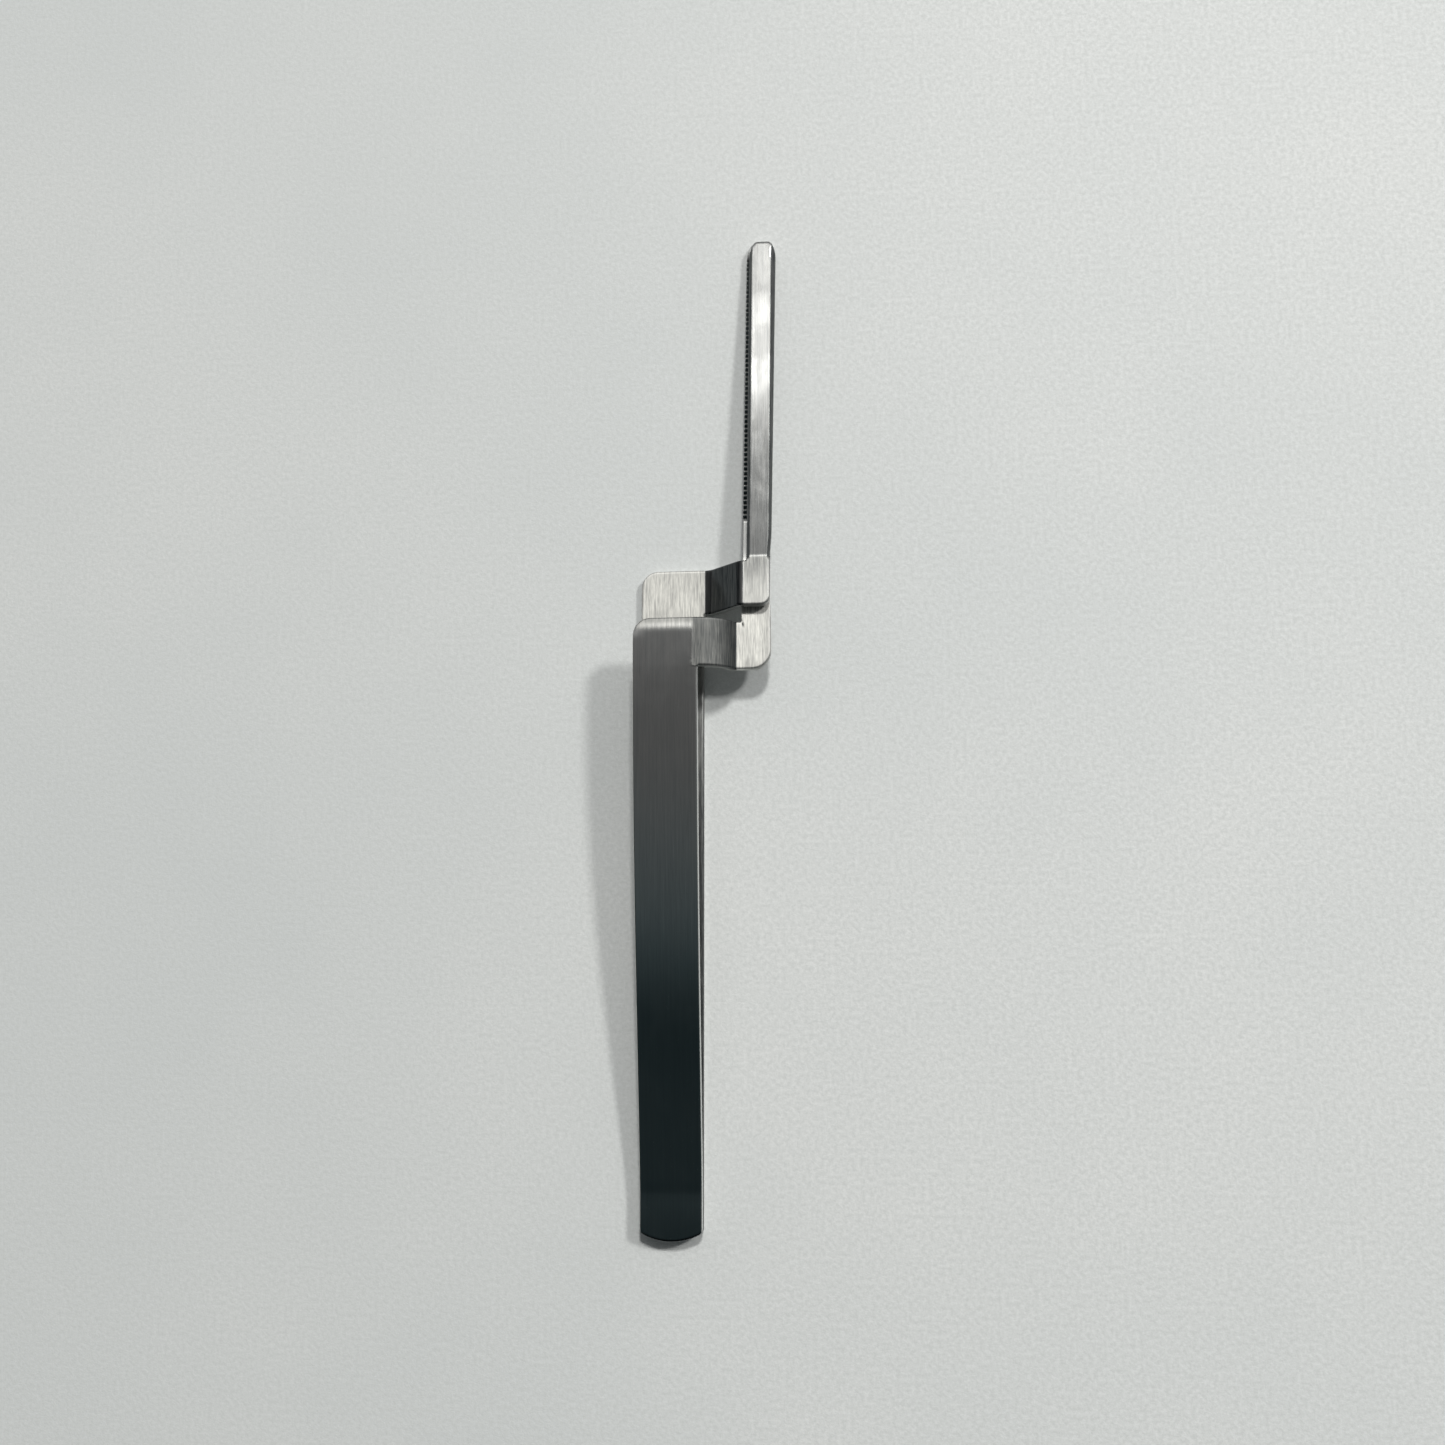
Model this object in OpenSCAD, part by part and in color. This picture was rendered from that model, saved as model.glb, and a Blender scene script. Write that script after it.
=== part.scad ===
/* Cross-action forceps: two spring steel blades welded together at the tail.
   Each blade is a handle, a jog that crosses to the side, and a long jaw.
   The jaws are closed at rest, and squeezing the handles opens them.
   Drawn with the tail end at y = 0, the handle's centre line at x = 0 and the table at z = 0,
   then moved so that the origin is at the middle of the base. */

/* [Overall] */
// Length from the tail end to the jaw tips
overall_length = 156; // [150:1:165]
// Thickness of the spring steel strip
strip_thickness = 1.4; // [1.2:0.1:1.6]

/* [Handles] */
// Width of a handle where it meets its jog
handle_width = 9.9; // [9:0.1:11]
// Width of a handle at the tail
tail_width = 9.3; // [9:0.1:10]
// Radius of the curved tail end
tail_end_radius = 9; // [7:0.5:9.5]
// Radius of the tail's two corners
tail_corner_radius = 0.8; // [0.3:0.1:1]
// Tail end to the near edge of the upper blade's jog
upper_handle_length = 84.7; // [83:0.1:86]
// Tail end to the near edge of the lower blade's jog
lower_handle_length = 94.4; // [93:0.2:98]
// Height that the upper handle bows up above the tail
bow_height = 7.4; // [6:0.2:8]
// How late the bow starts to rise
bow_lateness = 1.15; // [1:0.05:1.3]

/* [Tail weld] */
// Length of the weld along the tail
weld_length = 7.6; // [5:0.2:10]
// Thickness of weld metal between the two blades
weld_thickness = 0.1; // [0.05:0.05:0.2]
// How far the weld metal stays in from the blades' edges
weld_inset = 0.15; // [0.1:0.05:0.5]

/* [Jogs] */
// Width of the upper blade's jog along the length of the forceps
upper_jog_width = 7.5; // [7:0.1:8]
// Width of the lower blade's jog along the length of the forceps
lower_jog_width = 7.2; // [7:0.1:8]
// Handle centre line to the far side of a jog
jog_reach = 15.7; // [15:0.1:16.5]
// Radius of the jog's outer corner beside the handle
jog_handle_corner = 2.6; // [1:0.1:3]
// Radius of the upper blade's outer corner beside its jaw
upper_jog_jaw_corner = 2.9; // [1:0.1:3]
// Radius of the lower blade's outer corner beside its jaw
lower_jog_jaw_corner = 1.4; // [1:0.1:2.4]
// Handle centre line to the start of the upper blade's bends
upper_bend_start = 4.4; // [4:0.1:4.8]
// Steepest slope of the upper blade's bends
upper_bend_angle = 70; // [68:1:72]
// Radius of the upper blade's wide bend beside the handle
upper_shoulder_radius = 5.4; // [5:0.1:5.6]
// Handle centre line to the start of the lower blade's bends
lower_bend_start = 5; // [4.8:0.1:5.1]
// Steepest slope of the lower blade's bends
lower_bend_angle = 48; // [48:1:55]
// Radius of the lower blade's bend beside the handle
lower_shoulder_radius = 2.5; // [1.5:0.1:2.6]
// Radius of the tight bends beside the jaws
tight_bend_radius = 0.9; // [0.8:0.05:1]
// Height of the lower jaw's inner face at its root
lower_jaw_root_height = 6.1; // [5.9:0.1:6.3]
// Height of the upper jaw's outer face at its root
upper_jaw_root_height = 7.45; // [7.3:0.05:7.7]

/* [Jaws] */
// Left edge of the lower jaw at its root
lower_jaw_left = 11.2; // [10.9:0.1:11.4]
// Width of the lower jaw at its root
lower_jaw_root_width = 4.3; // [4:0.1:4.5]
// Left edge of the upper jaw at its root
upper_jaw_left = 12.1; // [11.8:0.1:12.3]
// Width of the upper jaw at its root
upper_jaw_root_width = 3.8; // [3.5:0.1:3.9]
// Width of the lower jaw at its tip
lower_tip_width = 4.4; // [4:0.1:4.6]
// Centre of the lower jaw at its tip
lower_tip_centre = 14.3; // [14.1:0.05:14.4]
// Width of the upper jaw at its tip
upper_tip_width = 4.3; // [4:0.1:4.5]
// Centre of the upper jaw at its tip
upper_tip_centre = 14.65; // [14.5:0.05:14.8]
// Thickness of each jaw at its tip
tip_thickness = 0.95; // [0.8:0.05:1.1]
// Gap between the closed jaws at the tips
tip_gap = 0.05; // [0.03:0.01:0.1]
// Length of the tapering rounding at the tips
tip_round_length = 3; // [1.5:0.1:4]
// Width of that rounding on each side
tip_round_width = 1.3; // [0.6:0.1:1.6]
// Width of the bevel along each side of a jaw's outer face
bevel_width = 0.45; // [0.3:0.05:0.6]
// Depth of that bevel
bevel_depth = 0.6; // [0.3:0.05:0.7]

/* [Serrations] */
// Tail end to the first tooth
teeth_start = 108.6; // [105:0.2:115]
// Distance from one tooth to the next
tooth_pitch = 0.8; // [0.6:0.05:1.2]
// Depth of the teeth
tooth_depth = 0.25; // [0.1:0.05:0.3]

/* [Hidden] */

arc_step = 10;
bow_steps = 40;
slope_reach = 0.5;
far = 40;
behind_tail = -1;
tail_arc_vertex = -1;
tail_corner_y = 1.25;
tooth_end_margin = 1.2;
cutter_depth = 5;
root_reach = 0.6;
overlap = 0.5;
clearance = 1;

upper_tail_floor = strip_thickness + weld_thickness;
upper_tip_bottom = tip_thickness + tip_gap;
upper_tip_top = upper_tip_bottom + tip_thickness;
origin_x = (upper_tip_centre + upper_tip_width / 2 - handle_width / 2) / 2;

// Height that the upper handle has risen by at a distance from the tail end
function bow(y) =
    y <= weld_length ? 0 :
    y >= upper_handle_length ? bow_height :
    bow_height * pow(sin(90 * (y - weld_length) / (upper_handle_length - weld_length)), bow_lateness);

// Angle of the upper handle at a distance from the tail end
function bow_angle(y) = atan((bow(y + slope_reach) - bow(y - slope_reach)) / (2 * slope_reach));

// Centre line of the upper handle's strip, as [distance, height, angle] stations
function bow_path() = [
    for (i = [-1 : bow_steps + 1])
        let (y = i < 0 ? behind_tail : i > bow_steps ? upper_handle_length + overlap :
            i * upper_handle_length / bow_steps)
        [y, upper_tail_floor + strip_thickness / 2 + bow(y), i >= bow_steps ? 0 : bow_angle(y)]
];

// Closed outline of a strip of even thickness round a centre line
function strip_outline(path, thickness) = concat(
    [for (p = path) [p[0] - sin(p[2]) * thickness / 2, p[1] + cos(p[2]) * thickness / 2]],
    [for (i = [len(path) - 1 : -1 : 0])
        let (p = path[i])
        [p[0] + sin(p[2]) * thickness / 2, p[1] - cos(p[2]) * thickness / 2]]
);

// Centre line of two opposite bends that carry a strip from one height to another
function bend_path(x0, z0, climb, angle, first_radius, last_radius) =
    let (
        side = climb > 0 ? 1 : -1,
        radii = first_radius + last_radius,
        straight = (abs(climb) - radii * (1 - cos(angle))) / sin(angle),
        run = radii * sin(angle) + straight * cos(angle),
        steps = ceil(angle / arc_step)
    )
    concat(
        [for (i = [0 : steps])
            let (a = angle * i / steps)
            [x0 + first_radius * sin(a), z0 + side * first_radius * (1 - cos(a)), side * a]],
        [for (i = [steps : -1 : 0])
            let (a = angle * i / steps)
            [x0 + run - last_radius * sin(a), z0 + climb - side * last_radius * (1 - cos(a)), side * a]]
    );

// Outline whose corners, given as [x, y, radius], are rounded by tangent arcs
function rounded_outline(corners) = [
    for (i = [0 : len(corners) - 1])
        let (
            n = len(corners),
            here = [corners[i][0], corners[i][1]],
            radius = corners[i][2],
            back = unit([corners[(i + n - 1) % n][0], corners[(i + n - 1) % n][1]] - here),
            ahead = unit([corners[(i + 1) % n][0], corners[(i + 1) % n][1]] - here),
            half = acos(back * ahead) / 2,
            turn = 180 - 2 * half,
            centre = here + unit(back + ahead) * radius / sin(half),
            start = here + back * radius / tan(half) - centre,
            side = back[0] * ahead[1] - back[1] * ahead[0] > 0 ? -1 : 1,
            steps = 2 * ceil(turn / (2 * arc_step))
        )
        for (k = [0 : radius > 0 ? steps : 0])
            radius > 0 ? centre + turned(start, side * turn * k / steps) : here
];
function unit(v) = v / norm(v);
function turned(v, a) = [v[0] * cos(a) - v[1] * sin(a), v[0] * sin(a) + v[1] * cos(a)];

// Jaw face with a row of V teeth, from the first tooth to the tip, sunk below the line of the face
function toothed_line(y0, z0, y1, z1, sink) =
    let (count = floor((overall_length - tooth_end_margin - teeth_start) / tooth_pitch))
    concat(
        [[y0, z0]],
        [for (i = [0 : count - 1], part = [0, 1])
            let (y = teeth_start + (i + part / 2) * tooth_pitch)
            [y, z0 + (z1 - z0) * (y - y0) / (y1 - y0) + part * sink]],
        [[teeth_start + count * tooth_pitch,
            z0 + (z1 - z0) * (teeth_start + count * tooth_pitch - y0) / (y1 - y0)]],
        [[y1, z1]]
    );

// Sweeps a y-z outline from x0 to x1
module along_x(x0, x1) {
    translate([x0, 0, 0])
        rotate([90, 0, 90])
            linear_extrude(x1 - x0) children();
}

// Sweeps an x-z outline from y0 to y1
module along_y(y0, y1) {
    translate([0, y0, 0])
        rotate([-90, 0, 0])
            mirror([0, 1, 0])
                linear_extrude(y1 - y0) children();
}

module from_above() {
    linear_extrude(far, center = true) children();
}

module placed() {
    translate([-origin_x, -overall_length / 2, 0]) children();
}

// Plan of a handle from the rounded tail end to its jog
module handle_plan(length) {
    polygon(rounded_outline([
        [-tail_width / 2, tail_corner_y, tail_corner_radius],
        [0, tail_arc_vertex, tail_end_radius],
        [tail_width / 2, tail_corner_y, tail_corner_radius],
        [handle_width / 2, length, 0],
        [handle_width / 2, length + overlap, 0],
        [-handle_width / 2, length + overlap, 0],
        [-handle_width / 2, length, 0]
    ]));
}

// Plan of a jog that reaches from y0 to y1
module jog_plan(y0, y1, jaw_corner) {
    polygon(rounded_outline([
        [-handle_width / 2, y0, 0],
        [jog_reach, y0, jaw_corner],
        [jog_reach, y1, 0],
        [-handle_width / 2, y1, jog_handle_corner]
    ]));
}

// Plan of a jaw from its root to its blunt, tapering tip
module jaw_plan(root_y, root_left, root_width, centre, half) {
    taper = [for (a = [0 : arc_step : 90])
        [half - tip_round_width * (1 - cos(a)), overall_length - tip_round_length * (1 - sin(a))]];
    polygon(concat(
        [[root_left, root_y], [root_left + root_width, root_y]],
        [for (p = taper) [centre + p[0], p[1]]],
        [for (i = [len(taper) - 1 : -1 : 0]) [centre - taper[i][0], taper[i][1]]]
    ));
}

// Jog: the strip leaves the handle flat, takes its two bends and ends flat at the jaw's root
module jog(y0, y1, bend_start, handle_z, climb, angle, shoulder_radius, jaw_left, jaw_corner) {
    bends = bend_path(bend_start, handle_z, climb, angle, shoulder_radius, tight_bend_radius);
    path = concat([[-far, handle_z, 0]], bends, [[jaw_left, handle_z + climb, 0]]);
    intersection() {
        along_y(y0, y1) polygon(strip_outline(path, strip_thickness));
        from_above() jog_plan(y0, y1, jaw_corner);
    }
}

// Everything on the inner side of one bevelled side of a jaw's outer face
module inside_bevel(near, ahead, side, up) {
    turn = atan((near[0] - ahead[0]) / (ahead[1] - near[1]));
    tilt = atan((ahead[2] - near[2]) / (ahead[1] - near[1]));
    translate(near)
        rotate([tilt, 0, turn])
            along_y(-clearance, overall_length - near[1] + clearance)
                polygon([
                    [-side * far, 0],
                    [-side * bevel_width, 0],
                    [0, -up * bevel_depth],
                    [0, -up * cutter_depth],
                    [-side * far, -up * cutter_depth]
                ]);
}

// Height of a jaw's face at a distance from the tail, given its heights at the root and at the tip
function face_height(y, root_y, face) =
    face[0] + (face[1] - face[0]) * (y - root_y) / (overall_length - root_y);

// Jaw from the start of its root to its tip: a full-width root beside the bends, then the slim jaw.
// Each face is given by its heights at the root and at the tip.
module jaw(root_y, neck_y, left, width, centre, half, outer, inner, jaw_corner, up) {
    profile = concat(
        [[root_y, outer[0]]],
        toothed_line(root_y, inner[0], overall_length, inner[1], up * tooth_depth),
        [[overall_length, outer[1]]]
    );
    start = neck_y - overlap;
    end = overall_length - tip_round_length;
    start_z = face_height(start, root_y, outer);
    end_z = face_height(end, root_y, outer);
    intersection() {
        along_x(left - root_reach, jog_reach) polygon(profile);
        from_above() jog_plan(root_y, neck_y, jaw_corner);
    }
    intersection() {
        along_x(0, far) polygon(profile);
        from_above() jaw_plan(start, left, width, centre, half);
        inside_bevel([left, start, start_z], [centre - half, end, end_z], -1, up);
        inside_bevel([left + width, start, start_z], [centre + half, end, end_z], 1, up);
    }
}

// Upper handle, its jog down to the right, and the lower jaw
module upper_blade() {
    handle_z = upper_tail_floor + bow_height + strip_thickness / 2;
    inner = [lower_jaw_root_height, tip_thickness];
    neck_y = upper_handle_length + upper_jog_width;
    jog_middle = (upper_handle_length + neck_y) / 2;
    jaw_z = face_height(jog_middle, upper_handle_length, inner) - strip_thickness / 2;
    color("silver")
        placed() {
            intersection() {
                along_x(-far, far) polygon(strip_outline(bow_path(), strip_thickness));
                from_above() handle_plan(upper_handle_length);
            }
            jog(upper_handle_length, neck_y, upper_bend_start, handle_z, jaw_z - handle_z,
                upper_bend_angle, upper_shoulder_radius, lower_jaw_left, upper_jog_jaw_corner);
            jaw(upper_handle_length, neck_y, lower_jaw_left, lower_jaw_root_width, lower_tip_centre,
                lower_tip_width / 2, [lower_jaw_root_height - strip_thickness, 0], inner,
                upper_jog_jaw_corner, -1);
        }
}

// Lower handle, flat on the table, its jog up to the right, and the upper jaw
module lower_blade() {
    handle_z = strip_thickness / 2;
    handle_path = [[behind_tail, handle_z, 0], [lower_handle_length + overlap, handle_z, 0]];
    outer = [upper_jaw_root_height, upper_tip_top];
    neck_y = lower_handle_length + lower_jog_width;
    jog_middle = (lower_handle_length + neck_y) / 2;
    jaw_z = face_height(jog_middle, lower_handle_length, outer) - strip_thickness / 2;
    color("gainsboro")
        placed() {
            intersection() {
                along_x(-far, far) polygon(strip_outline(handle_path, strip_thickness));
                from_above() handle_plan(lower_handle_length);
            }
            jog(lower_handle_length, neck_y, lower_bend_start, handle_z, jaw_z - handle_z,
                lower_bend_angle, lower_shoulder_radius, upper_jaw_left, lower_jog_jaw_corner);
            jaw(lower_handle_length, neck_y, upper_jaw_left, upper_jaw_root_width, upper_tip_centre,
                upper_tip_width / 2, outer,
                [upper_jaw_root_height - strip_thickness, upper_tip_bottom], lower_jog_jaw_corner, 1);
        }
}

// Weld metal between the two blades at the tail
module tail_weld() {
    shrink = (tail_width - 2 * weld_inset) / tail_width;
    color("gray")
        placed()
            translate([0, 0, strip_thickness])
                linear_extrude(weld_thickness)
                    intersection() {
                        translate([0, weld_inset]) scale(shrink) handle_plan(upper_handle_length);
                        translate([-far / 2, behind_tail]) square([far, weld_length - behind_tail]);
                    }
}

upper_blade();
lower_blade();
tail_weld();
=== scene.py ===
"""Cross-action forceps lying on a pale table, seen from above.

Each steel blade is one closed mesh: a handle, a jog that crosses to the side and a long jaw.
Lengths are in millimetres in the drawing of the part: the tail end is at y = 0, the handle's centre line
is at x = 0 and the table is at z = 0. Only the lamps' distance and the table's size are in metres.
"""
import math

import bpy
import numpy as np
from mathutils import Matrix, Vector


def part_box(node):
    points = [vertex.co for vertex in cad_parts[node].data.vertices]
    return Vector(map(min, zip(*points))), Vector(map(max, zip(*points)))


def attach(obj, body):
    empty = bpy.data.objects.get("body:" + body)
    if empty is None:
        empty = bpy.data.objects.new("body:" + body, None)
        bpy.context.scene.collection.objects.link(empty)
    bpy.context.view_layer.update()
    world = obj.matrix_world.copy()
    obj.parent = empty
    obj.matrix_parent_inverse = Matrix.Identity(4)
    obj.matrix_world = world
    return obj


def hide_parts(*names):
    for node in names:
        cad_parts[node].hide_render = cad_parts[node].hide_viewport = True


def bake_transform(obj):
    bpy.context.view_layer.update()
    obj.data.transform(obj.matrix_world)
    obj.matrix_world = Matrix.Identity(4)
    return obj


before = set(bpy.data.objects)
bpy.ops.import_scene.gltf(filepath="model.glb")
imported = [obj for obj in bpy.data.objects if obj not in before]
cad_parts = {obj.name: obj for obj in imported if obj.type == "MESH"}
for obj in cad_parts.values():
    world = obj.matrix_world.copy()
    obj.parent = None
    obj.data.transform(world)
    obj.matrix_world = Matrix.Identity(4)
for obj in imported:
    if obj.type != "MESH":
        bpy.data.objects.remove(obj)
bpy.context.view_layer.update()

MM = 0.001

# The two handles. A bow lateness above 1 makes the upper one rise more slowly near the weld.
STRIP = 1.4
HANDLE_HALF = 4.95
TAIL_HALF = 4.65
TAIL_END_RADIUS = 9.0
TAIL_CORNER = 0.8
WELD_LENGTH = 7.6
WELD_GAP = 0.1
BOW_HEIGHT = 7.4
BOW_LATENESS = 1.15
LENGTH = 156.0

# The two jogs: each begins at its jog's y, and its jaw leaves it at the neck's y
UPPER_JOG_Y = 84.7
UPPER_NECK_Y = 92.2
LOWER_JOG_Y = 94.4
LOWER_NECK_Y = 101.6
JOG_REACH = 15.7
HANDLE_CORNER = 2.6
INNER_FILLET = 0.25
TIGHT_BEND = 0.9

# The two jaws
NECK_CURVE = 5.0
TIP_ROUND_LENGTH = 3.0
TIP_ROUND_WIDTH = 1.3
TIP_THICKNESS = 0.95
TIP_GAP = 0.05
LEFT_BEVEL = 0.45
RIGHT_BEVEL_AT_ROOT = 0.38
RIGHT_BEVEL_AT_TIP = 0.68
BEVEL_DEPTH = 0.6
TEETH_START = 108.6
TOOTH_PITCH = 0.8
TOOTH_DEPTH = 0.25
TEETH_MARGIN = 1.6
WORN_EDGE = 0.35
EDGE_ROUND = 0.3
JAW_EDGE_ROUND = 0.1
TIP_EDGE_ROUND = 0.4


class Shape:
    """The measures in which the two blades differ: places in plan, bends, and the strip's middle heights."""

    def __init__(self, jog_y, neck_y, jaw_corner, bend_start, bend_angle, shoulder, jaw_left, jaw_width,
                 tip_centre, tip_width, jaw_root, jaw_tip, handle):
        self.jog_y = jog_y
        self.neck_y = neck_y
        self.mid_jog_y = (jog_y + neck_y) / 2
        self.jaw_corner = jaw_corner
        self.bend_start = bend_start
        self.bend_angle = math.radians(bend_angle)
        self.shoulder = shoulder
        self.jaw_left = jaw_left
        self.jaw_width = jaw_width
        self.tip_centre = tip_centre
        self.tip_width = tip_width
        self.jaw_root = jaw_root
        self.jaw_tip = jaw_tip
        self.handle = handle
        self.rise = abs(self.jaw(self.mid_jog_y) - handle(jog_y))

    def jaw(self, y):
        """Height of the middle of the jaw's strip."""
        return line(y, self.jog_y, self.jaw_root, LENGTH, self.jaw_tip)

    def middle(self, x, y):
        """Height of the middle of the blade's strip."""
        beside_handle = 1 - rising(y, self.jog_y - 1.5, 1.2)
        start = self.bend_start + (HANDLE_HALF + INNER_FILLET - self.bend_start) * beside_handle
        share = bend(x - start, self.bend_angle, self.shoulder, self.rise) / self.rise
        return (1 - share) * self.handle(y) + share * self.jaw(y)

    def left_edge(self, y):
        return line(y, self.neck_y, self.jaw_left, LENGTH, self.tip_centre - self.tip_width / 2)

    def right_edge(self, y):
        """Right edge of the jaw, which leaves the jog's end in a gentle curve."""
        tip = self.tip_centre + self.tip_width / 2
        edge = line(y, self.neck_y, self.jaw_left + self.jaw_width, LENGTH, tip)
        return edge + (JOG_REACH - edge) * (1 - rising(y, self.neck_y, NECK_CURVE))


# Where the drawing lies in the row frame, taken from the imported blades
upper_low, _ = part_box("upper_blade")
lower_low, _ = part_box("lower_blade")
AXIS_X = upper_low[0] / MM + HANDLE_HALF
TAIL_Y = upper_low[1] / MM
TABLE_Z = lower_low[2] / MM


def row(point):
    """A drawing point in the row frame, in metres."""
    return Vector(((point[0] + AXIS_X) * MM, (point[1] + TAIL_Y) * MM, (point[2] + TABLE_Z) * MM))


# ---------------------------------------------------------------- blade surfaces


def smooth(t):
    """A soft step from 0 to 1 as t goes from 0 to 1."""
    t = np.clip(t, 0.0, 1.0)
    return t * t * (3 - 2 * t)


def rising(value, start, width):
    """A soft step from 0 to 1 that begins at start and is that wide."""
    return smooth((value - start) / width)


def bow(y):
    """How far the upper handle has risen at a distance from the tail."""
    t = np.clip((y - WELD_LENGTH) / (UPPER_JOG_Y - WELD_LENGTH), 0.0, 1.0)
    return BOW_HEIGHT * np.sin(t * math.pi / 2) ** BOW_LATENESS


def bend(x, angle, shoulder, rise):
    """Height climbed by a strip's two opposite bends, which start at x = 0."""
    s, c = math.sin(angle), math.cos(angle)
    straight = (rise - (shoulder + TIGHT_BEND) * (1 - c)) / s
    run = (shoulder + TIGHT_BEND) * s + straight * c
    t = np.clip(x, 0.0, run)
    first = shoulder - np.sqrt(shoulder**2 - np.minimum(t, shoulder * s) ** 2)
    last = TIGHT_BEND - np.sqrt(TIGHT_BEND**2 - np.minimum(run - t, TIGHT_BEND * s) ** 2)
    middle = shoulder * (1 - c) + (t - shoulder * s) * s / c
    return np.where(t < shoulder * s, first, np.where(t > run - TIGHT_BEND * s, rise - last, middle))


def line(y, y0, z0, y1, z1):
    """Height at y of the straight line through (y0, z0) and (y1, z1)."""
    return z0 + (z1 - z0) * (y - y0) / (y1 - y0)


def upper_handle(y):
    """Height of the middle of the bowed handle."""
    return 1.5 * STRIP + WELD_GAP + bow(y)


def lower_handle(y):
    """Height of the middle of the flat handle."""
    return 0 * y + STRIP / 2


def thickness(y, root_y):
    """Thickness of the strip, which thins from the jog to the jaw's tip."""
    return line(np.maximum(y, root_y), root_y, STRIP, LENGTH, TIP_THICKNESS)


UPPER = Shape(
    jog_y=UPPER_JOG_Y, neck_y=UPPER_NECK_Y, jaw_corner=2.9,
    bend_start=4.4, bend_angle=70, shoulder=5.4,
    jaw_left=11.2, jaw_width=4.3, tip_centre=14.3, tip_width=4.4,
    jaw_root=5.4, jaw_tip=TIP_THICKNESS / 2, handle=upper_handle)
LOWER = Shape(
    jog_y=LOWER_JOG_Y, neck_y=LOWER_NECK_Y, jaw_corner=1.4,
    bend_start=5.0, bend_angle=48, shoulder=2.5,
    jaw_left=12.1, jaw_width=3.8, tip_centre=14.65, tip_width=4.3,
    jaw_root=6.75, jaw_tip=1.5 * TIP_THICKNESS + TIP_GAP, handle=lower_handle)


# ---------------------------------------------------------------- blade grid


def arc(cx, cy, radius, start, end, count):
    """Points of an arc between two angles."""
    a = np.linspace(start, end, count)
    return np.column_stack([cx + radius * np.cos(a), cy + radius * np.sin(a)])


def lengths(points):
    """Distance along a polyline of each of its points."""
    return np.concatenate([[0], np.cumsum(np.linalg.norm(np.diff(points, axis=0), axis=1))])


def along(points, where):
    """Points of a polyline at the given distances along it."""
    d = lengths(points)
    return np.column_stack([np.interp(where, d, points[:, 0]), np.interp(where, d, points[:, 1])])


def blunt_end(half, end_radius, corner):
    """Rounded end with its tip at (0, 0) and its body towards +y, and one side from its corner's middle."""
    lean = math.asin((half - corner) / (end_radius - corner))
    cy = end_radius - (end_radius - corner) * math.cos(lean)
    low, mid = lean - math.pi / 2, (lean - math.pi / 2) / 2
    corner_arc = arc(half - corner, cy, corner, mid, low, 12)
    face = arc(0, end_radius, end_radius, low, -math.pi - low, 60)
    mirrored = corner_arc[::-1] * [-1, 1]
    right_to_left = np.vstack([corner_arc[:-1], face[:-1], mirrored])
    side = np.vstack([arc(half - corner, cy, corner, mid, 0, 12), [[half, cy + 20]]])
    return right_to_left[::-1], side


def tapered_end(half):
    """The jaws' end: flat in the middle with elliptical corners, and one side from its corner's middle."""
    a = np.linspace(math.radians(60), math.pi / 2, 12)
    b = np.linspace(math.radians(60), 0, 24)

    def corner(t):
        return np.column_stack([half - TIP_ROUND_WIDTH * (1 - np.cos(t)), TIP_ROUND_LENGTH * (1 - np.sin(t))])

    face = np.vstack([corner(a) * [-1, 1], corner(a)[::-1]])
    return face, np.vstack([corner(b), [[half, TIP_ROUND_LENGTH + 20]]])


# Lines of points beside each edge of a blade. Two of them lie along the tops of a jaw's bevels.
EDGE_INSETS = np.array([0, 0.025, 0.08, 0.16, 0.27, 0.42, 0.58, 0.78, 1.0])
LEFT_BEVEL_INSET = 0.42
RIGHT_BEVEL_INSET = 0.58
INNER_LINES = 15


def rib_fractions(width, stretch):
    """Positions across a rib, close together beside both edges. stretch widens the insets left and right."""
    left, right = EDGE_INSETS * stretch[0], EDGE_INSETS * stretch[1]
    inside = np.linspace(left[-1], width - right[-1], INNER_LINES + 2)[1:-1]
    return np.concatenate([left, inside, width - right[::-1]]) / width


def right_bevel(shape, y):
    """Width of a jaw's right bevel, which widens towards the tip."""
    return line(y, shape.neck_y, RIGHT_BEVEL_AT_ROOT, LENGTH, RIGHT_BEVEL_AT_TIP)


def bevel_stretch(shape, y):
    """The stretch that puts one line of points along the top of each bevel of a jaw."""
    return LEFT_BEVEL / LEFT_BEVEL_INSET, right_bevel(shape, y) / RIGHT_BEVEL_INSET


def end_ribs(distances, half, end, fade, stretch=(1, 1)):
    """Ribs near an end as (sideways from -1 to 1, distance from the tip)."""
    face, side = end
    share = rib_fractions(2 * half, stretch)
    on_face = along(face, share * lengths(face)[-1])
    start = along(side, np.array([0.0]))[0]
    straight = np.column_stack([start[0] * (2 * share - 1), np.full(len(share), start[1])])
    ribs = []
    for a, point in zip(distances, along(side, np.array(distances))):
        rib = np.column_stack([point[0] * (2 * share - 1), np.full(len(share), point[1])])
        ribs.append((rib + (1 - smooth(a / fade)) * (on_face - straight)) / [half, 1])
    return ribs


def straight_rib(a, b, stretch=(1, 1)):
    """One rib from a on the left side to b on the right side."""
    share = rib_fractions(math.dist(a, b), stretch)[:, None]
    return a * (1 - share) + b * share


def straight_ribs(left, right):
    """Ribs between matching points of a left side and a right side."""
    return [straight_rib(a, b) for a, b in zip(left, right)]


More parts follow.
